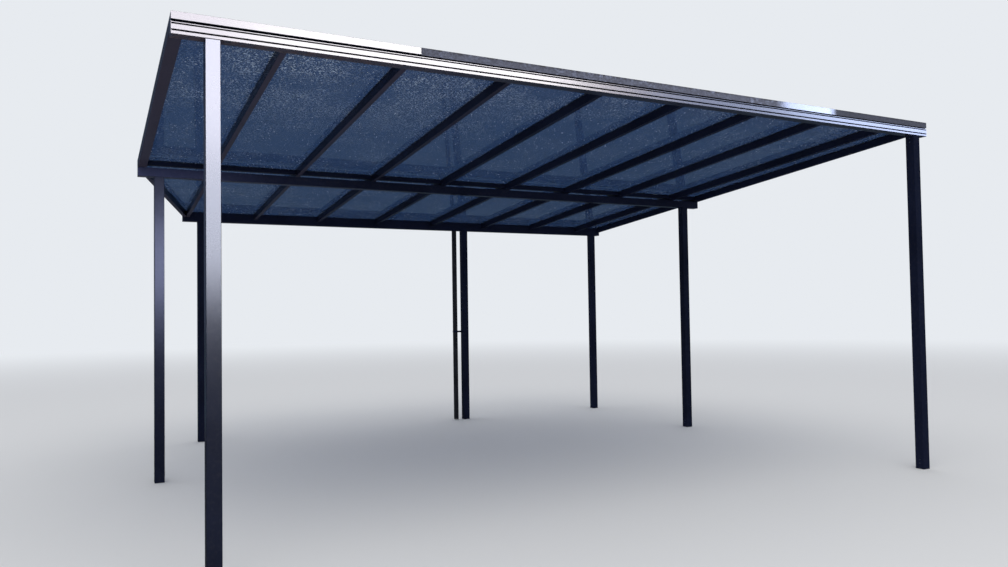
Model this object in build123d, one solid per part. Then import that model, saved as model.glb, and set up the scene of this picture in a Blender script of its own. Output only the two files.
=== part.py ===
from build123d import *
import math
import os

# Open carport: seven square posts carry a high front beam, a middle beam and a low rear gutter.
# Ten rafters fall from front to rear under clear tinted sheets, and the rear left corner is cut off.
# X runs along the beams from left to right, Y from front to rear and Z up. All sizes are millimetres.

# Plan of the roof
roof_width = 7040.0
front_to_middle = 3395.0
front_to_rear = 5790.0
corner_cut = 650.0
roof_fall = 4.84

# Heights above the floor
front_beam_base = 3306.0
rafter_rise = 46.0

# Front beam, an extrusion with two chambers and a grooved face
front_beam_depth = 90.0
front_face_height = 74.0
front_beam_wall = 3.0
groove_heights = (25.0, 66.0)
groove_width = 5.0
groove_depth = 5.0
groove_taper = 0.5
shadow_gap = 12.0
shadow_depth = 12.0
beam_radius = 3.0

# Front cap, an angle that holds the front edge of the sheets
cap_wall = 2.5
cap_reach = 60.0
cap_joint_from_left = 1596.0
cap_joint_gap = 2.0
cap_radius = 1.5

# Middle beam
middle_beam_height = 80.0
middle_beam_depth = 90.0
middle_beam_wall = 3.0

# Rear gutter
gutter_drop = 50.0
gutter_width = 115.0
gutter_wall = 2.5
gutter_flange = 14.0
gutter_outer_height = 104.0
gutter_bead = 10.0
gutter_lip = 12.0
gutter_radius = 4.0

end_plate = 3.0

# Posts, their head plates and the feet that stand inside them
post_size = 90.0
post_wall = 3.0
post_radius = 4.0
head_plate = 3.0
foot_clearance = 0.3
foot_plate = 8.0
foot_cheek = 5.0
foot_height = 110.0
anchor_radius = 7.0
anchor_spacing = 44.0

# Gaps from the roof's left and right edges to the nearer face of each post
front_left_inset = 192.0
front_right_inset = 114.0
middle_left_inset = 147.0
middle_right_inset = 184.0
rear_left_inset = 825.0
rear_middle_inset = 4554.0
rear_right_inset = 88.0

# Rafters
rafter_width = 44.0
rafter_depth = 70.0
rafter_wall = 2.5
rafter_radius = 2.0
side_rafter_width = 80.0
first_rafter_right = 726.0
rafter_pitch = 840.0
web_width = 8.0
edge_upstand = 6.0

# Sheets, gaskets and the caps that clamp them
sheet_thickness = 8.0
sheet_side_gap = 5.0
sheet_joint_gap = 8.0
sheet_front_inset = 8.0
sheet_overhang = 40.0
gasket_thickness = 2.0
gasket_width = 8.0
gasket_inset = 3.0
gasket_seat = 1.0
gasket_end_gap = 1.0
bar_thickness = 3.0
bar_lip = 2.0
bar_lip_drop = 1.2
bar_radius = 1.5

# Cross bars under the sheet joint
joint_bar_width = 40.0
joint_bar_height = 40.0
joint_bar_wall = 2.0

# Downpipe
pipe_radius = 35.0
pipe_wall = 2.5
pipe_from_post = 107.0
pipe_floor_gap = 10.0
outlet_clearance = 0.3
outlet_wall = 2.0
outlet_flange = 10.0
outlet_reach = 60.0
bracket_height = 1297.0
bracket_depth = 25.0
bracket_wall = 3.0
bracket_pad = 40.0

# Values worked out from the sizes above
fall_slope = math.tan(math.radians(roof_fall))
fall_cosine = math.cos(math.radians(roof_fall))
rear_depth = front_to_rear + gutter_width
sheet_low = rafter_depth + gasket_thickness
sheet_high = sheet_low + sheet_thickness
bar_low = sheet_high + gasket_thickness
bar_high = bar_low + bar_thickness
middle_line = front_to_middle + middle_beam_depth / 2
middle_back = front_to_middle + middle_beam_depth
cap_base = front_face_height + shadow_gap
cut_run = front_to_rear - middle_back
first_rafter_left = first_rafter_right - rafter_width

# Cutting shapes run this far past what they cut
reach_past = 200.0


def roof_z(y, layer=0.0):
    """Height at y of a roof layer, measured square to the roof from the undersides of the rafters."""
    return front_beam_base + rafter_rise - fall_slope * (y - front_beam_depth) + layer / fall_cosine


gutter_base = roof_z(front_to_rear) - gutter_drop
middle_beam_base = roof_z(middle_back) - middle_beam_height


def profile(points):
    """Flat face in the YZ plane from (y, z) points."""
    return Plane.YZ * make_face(Polyline(*points, close=True))


def run_along_x(face, x_from, x_to):
    """Bar of constant section between two X positions."""
    return Pos(x_from, 0, 0) * extrude(face, amount=x_to - x_from, dir=(1, 0, 0))


def block(x_from, x_to, y_from, y_to, z_from, z_to):
    """Rectangular bar between six planes."""
    size = Box(x_to - x_from, y_to - y_from, z_to - z_from, align=(Align.MIN, Align.MIN, Align.MIN))
    return Pos(x_from, y_from, z_from) * size


def roof_layer(low, high):
    """Slab that lies between two layers of the sloping roof."""
    y_from = -reach_past
    y_to = rear_depth + reach_past
    points = [
        (y_from, roof_z(y_from, low)),
        (y_to, roof_z(y_to, low)),
        (y_to, roof_z(y_to, high)),
        (y_from, roof_z(y_from, high)),
    ]
    return run_along_x(profile(points), -reach_past, roof_width + reach_past)


def plan(points):
    """Upright prism over a plan outline, tall enough to cut every roof layer."""
    return extrude(make_face(Polyline(*points, close=True)), amount=2 * front_beam_base)


def strip(x_from, x_to, y_from, y_to, low, high):
    """Straight strip in a roof layer, with plumb ends."""
    return roof_layer(low, high) & plan([(x_from, y_from), (x_to, y_from), (x_to, y_to), (x_from, y_to)])


def cut_edge(y, offset=0.0):
    """X of a line parallel to the cut corner's outer edge, offset square to it into the roof."""
    slant = math.hypot(cut_run, corner_cut) / cut_run
    return corner_cut * (y - middle_back) / cut_run + offset * slant


def roof_run(section, start, end, y_from, y_to, x_limit=None):
    """Bar laid in the roof from one plan point to another, with plumb ends.

    The section is drawn with X across the bar, from its left edge, and Y as the roof layer.
    """
    low = Vector(end[0], end[1], roof_z(end[1]))
    high = Vector(start[0], start[1], roof_z(start[1]))
    up_slope = (high - low).normalized()
    square = Vector(0, fall_slope, 1).normalized()
    plane = Plane(origin=low - up_slope * reach_past, x_dir=square.cross(up_slope), z_dir=up_slope)
    bar = extrude(plane * section, amount=(high - low).length + 2 * reach_past)
    right = roof_width + reach_past if x_limit is None else x_limit
    return bar & block(0, right, y_from, y_to, 0, 2 * front_beam_base)


def rectangle(x_from, x_to, y_from, y_to):
    """Flat rectangle between four lines."""
    return Pos((x_from + x_to) / 2, (y_from + y_to) / 2) * Rectangle(x_to - x_from, y_to - y_from)


def rounded(face, radius, low, high):
    """The same upright face with its corners between two heights rounded."""
    corners = [corner for corner in face.vertices() if low <= corner.Z <= high]
    return fillet(corners, radius)


def write(name, *solids):
    """Write one node, moved so that the origin is under the middle of the roof."""
    shape = solids[0] if len(solids) == 1 else Compound(children=list(solids))
    shape = Pos(-roof_width / 2, -rear_depth / 2, 0) * shape
    shape.label = name
    export_step(shape, f"parts/{name}.step")


# Rafters, from left to right, with where the upstand and the gaskets stand across each
class RafterLine:
    """Place of one rafter: plan points of its left edge, widths, upstand and gasket seats across it."""

    def __init__(self, name, start, end, width, side):
        self.name = name
        self.start = start
        self.end = end
        self.width = width
        self.cap_width = rafter_width
        self.x_limit = None
        self.overhang = sheet_overhang
        left_seat = gasket_inset
        right_seat = rafter_width - gasket_inset - gasket_width
        if side == "left":
            self.upstand = (0, edge_upstand)
            self.seats = [right_seat]
            self.lips = [rafter_width - bar_lip]
        elif side == "right":
            self.upstand = (width - edge_upstand, width)
            self.seats = [left_seat]
            self.lips = [0]
        else:
            self.upstand = ((width - web_width) / 2, (width + web_width) / 2)
            self.seats = [left_seat, right_seat]
            self.lips = [0, rafter_width - bar_lip]

    def x(self, across):
        """X of a line across a rafter that runs straight back."""
        return self.start[0] + across

    def run(self, section, y_from, y_to):
        return roof_run(section, self.start, self.end, y_from, y_to, self.x_limit)


rafter_lines = [RafterLine("rafter_left_end", (0, front_beam_depth), (0, middle_back), side_rafter_width, "left")]
rafter_lines[0].overhang = 0
x_rafter = first_rafter_left
while x_rafter < roof_width - rafter_pitch / 2:
    name = f"rafter_{len(rafter_lines)}"
    ends = (x_rafter, front_beam_depth), (x_rafter, front_to_rear)
    rafter_lines.append(RafterLine(name, *ends, rafter_width, "inner"))
    x_rafter += rafter_pitch
x_rafter = roof_width - rafter_width
ends = (x_rafter, front_beam_depth), (x_rafter, front_to_rear)
rafter_lines.append(RafterLine("rafter_right_end", *ends, rafter_width, "right"))

# The rafter on the cut corner butts against the first inner rafter
cut_line = RafterLine("rafter_cut_corner", (0, middle_back), (corner_cut, front_to_rear), rafter_width, "left")
cut_line.x_limit = first_rafter_left


# Posts with their feet and head plates
def post(x, y, top):
    outline = RectangleRounded(post_size, post_size, post_radius)
    hollow = Rectangle(post_size - 2 * post_wall, post_size - 2 * post_wall)
    return Pos(x + post_size / 2, y + post_size / 2, 0) * extrude(outline - hollow, amount=top - head_plate)


def post_head(x, y, top):
    return block(x, x + post_size, y, y + post_size, top - head_plate, top)


def post_foot(x, y):
    inside = post_size - 2 * post_wall - 2 * foot_clearance
    plate = Box(inside, inside, foot_plate, align=(Align.CENTER, Align.CENTER, Align.MIN))
    cheek = Box(inside, foot_cheek, foot_height, align=(Align.CENTER, Align.CENTER, Align.MIN))
    shift = (inside - foot_cheek) / 2
    foot = plate + Pos(0, shift, 0) * cheek + Pos(0, -shift, 0) * cheek
    for side in (-1, 1):
        foot -= Pos(side * anchor_spacing / 2, 0, foot_plate / 2) * Cylinder(anchor_radius, 2 * foot_plate)
    return Pos(x + post_size / 2, y + post_size / 2, 0) * foot


# Front beam and its cap
def front_beam_outline(top_layer):
    face_y = cap_wall
    back_top = roof_z(front_beam_depth, top_layer)
    front_top = roof_z(face_y, top_layer)
    base = front_beam_base
    points = [(0, base)]
    for height in groove_heights:
        points.append((0, base + height - groove_width / 2))
        points.append((groove_depth, base + height - groove_width / 2 + groove_taper))
        points.append((groove_depth, base + height + groove_width / 2 - groove_taper))
        points.append((0, base + height + groove_width / 2))
    points.append((0, base + front_face_height))
    points.append((shadow_depth, base + front_face_height))
    points.append((shadow_depth, base + cap_base))
    points.append((face_y, base + cap_base))
    points.append((face_y, front_top))
    points.append((front_beam_depth, back_top))
    points.append((front_beam_depth, base))
    return rounded(profile(points), beam_radius, base, base)


def front_beam_chambers():
    wall = front_beam_wall
    y_front = groove_depth + wall
    y_back = front_beam_depth - wall
    y_recess = shadow_depth + wall
    low = front_beam_base + wall
    shelf = front_beam_base + front_face_height - wall
    web = front_beam_base + cap_base
    lower = profile([(y_front, low), (y_back, low), (y_back, web), (y_recess, web), (y_recess, shelf), (y_front, shelf)])
    y_upper = cap_wall + wall
    upper = profile([
        (y_upper, web + wall),
        (y_back, web + wall),
        (y_back, roof_z(y_back, rafter_depth - wall)),
        (y_upper, roof_z(y_upper, rafter_depth - wall)),
    ])
    return lower + upper


def cap_profile():
    under = bar_low
    points = [
        (0, front_beam_base + cap_base),
        (cap_wall, front_beam_base + cap_base),
        (cap_wall, roof_z(cap_wall, under)),
        (cap_reach, roof_z(cap_reach, under)),
        (cap_reach, roof_z(cap_reach, bar_high)),
        (0, roof_z(0, bar_high)),
    ]
    return rounded(profile(points), cap_radius, roof_z(0, bar_high), roof_z(0, bar_high))


# Middle beam
def middle_beam_outline():
    base = middle_beam_base
    outline = profile([
        (front_to_middle, base),
        (middle_back, base),
        (middle_back, roof_z(middle_back)),
        (front_to_middle, roof_z(front_to_middle)),
    ])
    return rounded(outline, beam_radius, base, base)


def middle_beam():
    wall = middle_beam_wall
    y0 = front_to_middle
    y1 = middle_back
    base = middle_beam_base
    inner = profile([
        (y0 + wall, base + wall),
        (y1 - wall, base + wall),
        (y1 - wall, roof_z(y1 - wall, -wall)),
        (y0 + wall, roof_z(y0 + wall, -wall)),
    ])
    return run_along_x(middle_beam_outline() - inner, end_plate, roof_width - end_plate)


# Gutter
def gutter_outline():
    y0 = front_to_rear
    y1 = rear_depth
    wall = gutter_wall
    base = gutter_base
    rim = base + gutter_outer_height
    outline = profile([
        (y0, base),
        (y1 - gutter_bead, base),
        (y1 - gutter_bead, rim - wall),
        (y1 - wall, rim - wall),
        (y1 - wall, rim - gutter_lip),
        (y1, rim - gutter_lip),
        (y1, rim),
        (y1 - gutter_bead - wall, rim),
        (y1 - gutter_bead - wall, base + wall),
        (y0 + wall, base + wall),
        (y0 + wall, roof_z(y0 + wall, rafter_depth - wall)),
        (y0 + gutter_flange, roof_z(y0 + gutter_flange, rafter_depth - wall)),
        (y0 + gutter_flange, roof_z(y0 + gutter_flange, rafter_depth)),
        (y0, roof_z(y0, rafter_depth)),
    ])
    outline = rounded(outline, gutter_radius, base, base)
    return rounded(outline, gutter_radius - wall, base + wall, base + wall)


def gutter_end_outline():
    y0 = front_to_rear
    y1 = rear_depth
    rim = gutter_base + gutter_outer_height
    return profile([(y0, gutter_base), (y1, gutter_base), (y1, rim), (y0, roof_z(y0, rafter_depth))])


pipe_x = rear_middle_inset - pipe_from_post
pipe_y = front_to_rear + (gutter_width - gutter_bead) / 2


# Rafters and the caps that clamp the sheets to them
def rafter_section(line):
    """Tube with an upstand between the sheets and a seat for each gasket."""
    middle = Pos(line.width / 2, rafter_depth / 2)
    section = middle * RectangleRounded(line.width, rafter_depth, rafter_radius)
    section += rectangle(*line.upstand, rafter_depth - rafter_wall, bar_low)
    section -= middle * Rectangle(line.width - 2 * rafter_wall, rafter_depth - 2 * rafter_wall)
    for seat in line.seats:
        section -= rectangle(seat, seat + gasket_width, rafter_depth - gasket_seat, rafter_depth)
    return section


def bar_cap_section(line):
    """Flat cap with rounded top edges and a lip along each edge that clamps a sheet."""
    section = rectangle(0, line.cap_width, bar_low, bar_high)
    top_corners = section.vertices().group_by(Axis.Y)[-1]
    section = fillet(top_corners, bar_radius)
    for lip in line.lips:
        section += rectangle(lip, lip + bar_lip, bar_low - bar_lip_drop, bar_low + bar_radius)
    return section


os.makedirs("parts", exist_ok=True)

# Posts
post_places = [
    ("post_front_left", front_left_inset, 0, front_beam_base),
    ("post_front_right", roof_width - front_right_inset - post_size, 0, front_beam_base),
    ("post_middle_left", middle_left_inset, front_to_middle, middle_beam_base),
    ("post_middle_right", roof_width - middle_right_inset - post_size, front_to_middle, middle_beam_base),
    ("post_rear_left", rear_left_inset, front_to_rear, gutter_base),
    ("post_rear_middle", rear_middle_inset, front_to_rear, gutter_base),
    ("post_rear_right", roof_width - rear_right_inset - post_size, front_to_rear, gutter_base),
]
for name, x, y, top in post_places:
    write(name, post(x, y, top))
write("post_heads", *[post_head(x, y, top) for _, x, y, top in post_places])
write("post_feet", *[post_foot(x, y) for _, x, y, _ in post_places])

# Front beam with its ends and cap lengths
front_section = front_beam_outline(rafter_depth) - front_beam_chambers()
write("front_beam", run_along_x(front_section, end_plate, roof_width - end_plate))
front_end = run_along_x(front_beam_outline(bar_low), 0, end_plate)
write("front_beam_ends", front_end, Pos(roof_width - end_plate, 0, 0) * front_end)
write("front_cap_left", run_along_x(cap_profile(), 0, cap_joint_from_left))
write("front_cap_right", run_along_x(cap_profile(), cap_joint_from_left + cap_joint_gap, roof_width))

# Middle beam with its ends
write("middle_beam", middle_beam())
middle_end = middle_beam_outline()
write("middle_beam_ends",
      run_along_x(middle_end, 0, end_plate),
      run_along_x(middle_end, roof_width - end_plate, roof_width))

# Gutter with its ends, outlet and downpipe
gutter = run_along_x(gutter_outline(), corner_cut + end_plate, roof_width - end_plate)
outlet_radius = pipe_radius - pipe_wall - outlet_clearance
outlet_hole = outlet_radius + outlet_clearance
gutter -= Pos(pipe_x, pipe_y, gutter_base) * Cylinder(outlet_hole, 4 * gutter_wall)
write("rear_gutter", gutter)
write("gutter_ends",
      run_along_x(gutter_end_outline(), corner_cut, corner_cut + end_plate),
      run_along_x(gutter_end_outline(), roof_width - end_plate, roof_width))
outlet_points = [
    (outlet_radius - outlet_wall, gutter_wall + outlet_wall),
    (outlet_radius + outlet_flange, gutter_wall + outlet_wall),
    (outlet_radius + outlet_flange, gutter_wall),
    (outlet_radius, gutter_wall),
    (outlet_radius, -outlet_reach),
    (outlet_radius - outlet_wall, -outlet_reach),
]
outlet = revolve(Plane.XZ * make_face(Polyline(*outlet_points, close=True)), Axis.Z)
write("gutter_outlet", Pos(pipe_x, pipe_y, gutter_base) * outlet)
pipe_length = gutter_base - pipe_floor_gap
pipe_section = Circle(pipe_radius) - Circle(pipe_radius - pipe_wall)
write("downpipe", Pos(pipe_x, pipe_y, pipe_floor_gap) * extrude(pipe_section, amount=pipe_length))

# Bracket that holds the downpipe to the middle rear post
strap_radius = pipe_radius + outlet_clearance
strap = extrude(Circle(strap_radius + bracket_wall) - Circle(strap_radius), amount=bracket_depth)
post_face = pipe_from_post
arm = block(strap_radius + bracket_wall / 2, post_face - bracket_wall, -bracket_wall / 2, bracket_wall / 2,
            0, bracket_depth)
pad = block(post_face - bracket_wall, post_face, -bracket_pad / 2, bracket_pad / 2, 0, bracket_depth)
pad_shift = front_to_rear + post_size / 2 - pipe_y
bracket = strap + arm + Pos(0, pad_shift, 0) * pad
write("downpipe_bracket", Pos(pipe_x, pipe_y, bracket_height) * bracket)

# Rafters
for line in rafter_lines + [cut_line]:
    write(line.name, line.run(rafter_section(line), line.start[1], line.end[1]))

# Cross bars, sheets, gaskets and caps in each bay
bar_front = middle_line - joint_bar_width / 2
bar_back = middle_line + joint_bar_width / 2
sheet_rear = front_to_rear + sheet_overhang
beam_gasket_line = front_beam_depth / 2
gutter_gasket_line = front_to_rear + gutter_flange / 2
joint_bars = []
joint_caps = []
low_gaskets = []
high_gaskets = []
for number in range(len(rafter_lines) - 1):
    before = rafter_lines[number]
    after = rafter_lines[number + 1]
    bay_left = before.x(before.width)
    bay_right = after.x(0)
    outer = strip(bay_left, bay_right, bar_front, bar_back, rafter_depth - joint_bar_height, rafter_depth)
    inner = strip(bay_left - rafter_wall, bay_right + rafter_wall,
                  bar_front + joint_bar_wall, bar_back - joint_bar_wall,
                  rafter_depth - joint_bar_height + joint_bar_wall, rafter_depth - joint_bar_wall)
    joint_bars.append(outer - inner)
    joint_caps.append(strip(before.x(before.cap_width), bay_right, bar_front, bar_back, bar_low, bar_high))

    sheet_left = before.x(before.upstand[1]) + sheet_side_gap
    sheet_right = after.x(after.upstand[0]) - sheet_side_gap
    front_sheet = strip(sheet_left, sheet_right, sheet_front_inset, middle_line - sheet_joint_gap / 2,
                        sheet_low, sheet_high)
    rear_from = middle_line + sheet_joint_gap / 2
    if number == 0:
        edge = edge_upstand + sheet_side_gap
        outline = [
            (max(cut_edge(rear_from, edge), sheet_left), rear_from),
            (sheet_right, rear_from),
            (sheet_right, sheet_rear),
            (cut_edge(sheet_rear, edge), sheet_rear),
            (cut_edge(middle_back, edge), middle_back),
        ]
        rear_sheet = roof_layer(sheet_low, sheet_high) & plan(outline)
    else:
        rear_sheet = strip(sheet_left, sheet_right, rear_from, sheet_rear, sheet_low, sheet_high)
    write(f"sheets_bay_{number + 1}", front_sheet, rear_sheet)

    # Gaskets that run across the bay
    cross_left = bay_left + gasket_end_gap
    cross_right = bay_right - gasket_end_gap
    for middle in (beam_gasket_line, bar_front + gasket_width, bar_back - gasket_width):
        sides = middle - gasket_width / 2, middle + gasket_width / 2
        low_gaskets.append(strip(cross_left, cross_right, *sides, rafter_depth, sheet_low))
        high_gaskets.append(strip(cross_left, cross_right, *sides, sheet_high, bar_low))
    rear_left = max(cross_left, corner_cut + end_plate + gasket_end_gap)
    if cross_right - rear_left > gasket_width:
        sides = gutter_gasket_line - gasket_width / 2, gutter_gasket_line + gasket_width / 2
        low_gaskets.append(strip(rear_left, cross_right, *sides, rafter_depth, sheet_low))
write("joint_bars", *joint_bars)
write("joint_caps", *joint_caps)

# Caps and gaskets along the rafters
bar_caps = []
for line in rafter_lines + [cut_line]:
    y_from = max(line.start[1], cap_reach) if line is cut_line else cap_reach
    bar_caps.append(line.run(bar_cap_section(line), y_from, line.end[1] + line.overhang))
    for seat in line.seats:
        low_section = rectangle(seat, seat + gasket_width, rafter_depth - gasket_seat, sheet_low)
        high_section = rectangle(seat, seat + gasket_width, sheet_high, bar_low)
        low_gaskets.append(line.run(low_section, line.start[1], line.end[1]))
        high_gaskets.append(line.run(high_section, y_from, line.end[1]))
write("rafter_caps", *bar_caps)
write("lower_gaskets", *low_gaskets)
write("upper_gaskets", *high_gaskets)
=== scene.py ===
"""Open carport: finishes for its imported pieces, fixings, leaf litter, water marks and a studio stage."""

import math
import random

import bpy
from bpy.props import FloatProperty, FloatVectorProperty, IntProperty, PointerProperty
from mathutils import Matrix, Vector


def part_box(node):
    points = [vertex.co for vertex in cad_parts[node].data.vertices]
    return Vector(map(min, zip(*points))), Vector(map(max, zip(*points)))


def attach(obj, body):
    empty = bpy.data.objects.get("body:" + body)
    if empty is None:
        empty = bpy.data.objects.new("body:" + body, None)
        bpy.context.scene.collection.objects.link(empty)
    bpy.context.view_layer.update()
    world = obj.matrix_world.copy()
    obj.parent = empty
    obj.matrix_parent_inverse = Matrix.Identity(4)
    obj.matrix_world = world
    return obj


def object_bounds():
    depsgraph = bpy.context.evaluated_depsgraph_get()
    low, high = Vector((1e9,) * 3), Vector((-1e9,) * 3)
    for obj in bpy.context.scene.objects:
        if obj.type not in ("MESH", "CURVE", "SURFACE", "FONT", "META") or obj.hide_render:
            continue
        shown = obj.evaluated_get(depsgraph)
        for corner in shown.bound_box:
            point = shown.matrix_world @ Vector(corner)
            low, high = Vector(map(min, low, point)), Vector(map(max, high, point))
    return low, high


bl_info = {
    "name": "Open Carport",
    "version": (1, 0, 0),
    "blender": (4, 5, 0),
    "location": "3D View > Sidebar > Carport",
    "description": "Finishes an open carport with tinted roof sheets and sets its studio stage",
    "category": "Object",
}

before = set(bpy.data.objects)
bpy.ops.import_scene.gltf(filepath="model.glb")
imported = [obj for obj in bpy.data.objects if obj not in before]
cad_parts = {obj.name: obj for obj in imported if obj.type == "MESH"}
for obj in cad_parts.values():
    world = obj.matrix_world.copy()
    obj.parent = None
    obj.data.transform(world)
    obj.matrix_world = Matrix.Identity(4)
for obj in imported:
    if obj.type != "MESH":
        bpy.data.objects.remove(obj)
cad_low, cad_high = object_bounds()

BODY = "root"


def nodes_named(start, *others):
    """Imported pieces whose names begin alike, in order, without the others."""
    return sorted(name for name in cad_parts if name.startswith(start) and name not in others)


POSTS = nodes_named("post_", "post_heads", "post_feet")
RAFTERS = nodes_named("rafter_", "rafter_caps")
SHEETS = nodes_named("sheets_bay_")
FRONT = ["post_front_left", "front_beam_ends"]
SIDE = ["post_middle_left", "middle_beam", "middle_beam_ends"]
INNER = [name for name in POSTS if name not in FRONT + SIDE] + RAFTERS + [
    "rear_gutter", "gutter_ends", "gutter_outlet", "joint_bars", "joint_caps", "rafter_caps", "post_heads",
    "downpipe_bracket"]
GASKETS = ["lower_gaskets", "upper_gaskets"]

# Heights above the front beam's base, in metres
BEAM_FACE_FOOT = 0.0035
RECESS_TOP = 0.0855
HALF_FADE = 0.0005
PAINTED_SHADE_LINES = ((0.025, 0.006), (0.065, 0.0052), (0.0828, 0.0088))  # painted shade lines, each a height and a half width

# Places of screws, in metres
CAP_HALF_WIDTH = 0.022
FIRST_CAP_SCREW = 0.12
CAP_REAR_MARGIN = 0.03
CUT_CAP_REAR_MARGIN = 0.1
CUT_RAFTER_ACROSS = 0.046
BESIDE_POST = 0.022
BEHIND_FRONT_FACE = 0.03
BEFORE_MIDDLE_BEAM = 0.012
POST_SCREWS_BELOW_HEAD = (0.022, 0.062)
POST_SCREWS_ABOVE_FOOT = (0.055, 0.09)
RAFTER_SCREW_BELOW_CAP = 0.068

# Litter: distances in metres, and a number of drifts
GUTTER_WALL = 0.0035
GUTTER_END_MARGIN = 0.06
GUTTER_FRONT_MARGIN = 0.03
GUTTER_REAR_MARGIN = 0.035
GUTTER_HEAP = 0.006
BEHIND_CAP = 0.012
EDGE_LIFT = 0.0015
LEAF_LIFT = 0.001
SPECK_LIFT = 0.0002
DRIFTS = 26
DRIFT_SPREAD = 0.16
DRIFT_DEPTH = 0.12

# Stage, in metres: the plane in front of the carport that holds the soft boxes, and the floor
LAMP_PLANE_Y = -10.0
FLOOR_HALF_WIDTH = 90.0


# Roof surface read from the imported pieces
def node_points(name):
    """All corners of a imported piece."""
    return [vertex.co.copy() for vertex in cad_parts[name].data.vertices]


def roof_plane():
    """Height at the front and fall of the caps' top face, from the highest line of the rafter caps."""
    points = node_points("rafter_caps")
    front = max(points, key=lambda p: p.z)
    rear = max((p for p in points if p.y > cad_high.y - 0.1), key=lambda p: p.z)
    fall = (front.z - rear.z) / (rear.y - front.y)
    return front, fall


cap_front, roof_fall = roof_plane()
front_base = min(point.z for point in node_points("front_beam"))
roof_normal = Vector((0.0, roof_fall, 1.0)).normalized()


def cap_top_z(y):
    """Height of the caps' top face at y."""
    return cap_front.z - roof_fall * (y - cap_front.y)


class CarportCoat(bpy.types.PropertyGroup):
    """Powder coat on posts, beams, rafters and caps."""

    colour: FloatVectorProperty(name="Coat colour", description="Dark blue black of the powder coat",
                                subtype="COLOR", size=3, min=0, max=1, default=(0.0065, 0.0088, 0.0215))
    dust: FloatVectorProperty(name="Dust colour", description="Dust on faces that look up",
                              subtype="COLOR", size=3, min=0, max=1, default=(0.16, 0.14, 0.115))
    mud: FloatVectorProperty(name="Mud colour", description="Brown marks under the front beam",
                             subtype="COLOR", size=3, min=0, max=1, default=(0.08, 0.046, 0.05))
    film: FloatVectorProperty(name="Cap film", description="Grey film on the right front cap",
                              subtype="COLOR", size=3, min=0, max=1, default=(0.132, 0.138, 0.18))
    roughness: FloatProperty(name="Roughness", description="Blur of the coat's gloss",
                             min=0, max=1, default=0.2)
    grain: FloatProperty(name="Grain size", description="Width of the coat's fine ripple",
                         unit="LENGTH", min=0.0005, default=0.004)


class CarportSheets(bpy.types.PropertyGroup):
    """Clear tinted roof sheets."""

    tint: FloatVectorProperty(name="Tint", description="Colour of light that passes a sheet",
                              subtype="COLOR", size=3, min=0, max=1, default=(0.026, 0.059, 0.15))
    film: FloatVectorProperty(name="Dust film", description="Colour of dried dust on a sheet",
                              subtype="COLOR", size=3, min=0, max=1, default=(0.32, 0.42, 0.58))
    roughness: FloatProperty(name="Roughness", description="Blur of a sheet's gloss",
                             min=0, max=1, default=0.035)
    film_strength: FloatProperty(name="Film strength", description="Most that the dust film hides",
                                 min=0, max=1, default=0.05)
    bead_strength: FloatProperty(name="Bead strength", description="Most that dried beads and runs hide",
                                 min=0, max=1, default=0.85)


class CarportFixings(bpy.types.PropertyGroup):
    """Screws on the caps, the posts, the rafters and the front beam."""

    head_radius: FloatProperty(name="Head radius", description="Half the width over a screw's six flats",
                               unit="LENGTH", min=0.001, default=0.004)
    head_height: FloatProperty(name="Head height", description="Height of a screw's head",
                               unit="LENGTH", min=0.001, default=0.0042)
    washer_radius: FloatProperty(name="Washer radius", description="Radius of the pressed washer",
                                 unit="LENGTH", min=0.001, default=0.0075)
    pitch: FloatProperty(name="Screw pitch", description="Distance between screws along a cap",
                         unit="LENGTH", min=0.05, default=0.4)


class CarportLitter(bpy.types.PropertyGroup):
    """Fallen leaves and dried specks."""

    leaf_length: FloatProperty(name="Leaf length", description="Length of a usual leaf",
                               unit="LENGTH", min=0.002, default=0.032)
    gutter_leaves: IntProperty(name="Leaves in the gutter", description="How many leaves lie in the gutter",
                               min=0, default=620)
    edge_leaves: IntProperty(name="Bits behind the cap",
                             description="How many bits of leaves lie behind the right front cap",
                             min=0, default=900)
    roof_leaves: IntProperty(name="Leaves on the sheets", description="How many leaves lie on the sheets",
                             min=0, default=420)
    specks: IntProperty(name="Specks on the sheets", description="How many dried specks are on the sheets",
                        min=0, default=7600)
    speck_size: FloatProperty(name="Speck size", description="Width of a usual dried speck",
                              unit="LENGTH", min=0.0005, default=0.0075)
    seed: IntProperty(name="Seed", description="Fixed seed of all scattering", min=0, default=7)


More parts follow.
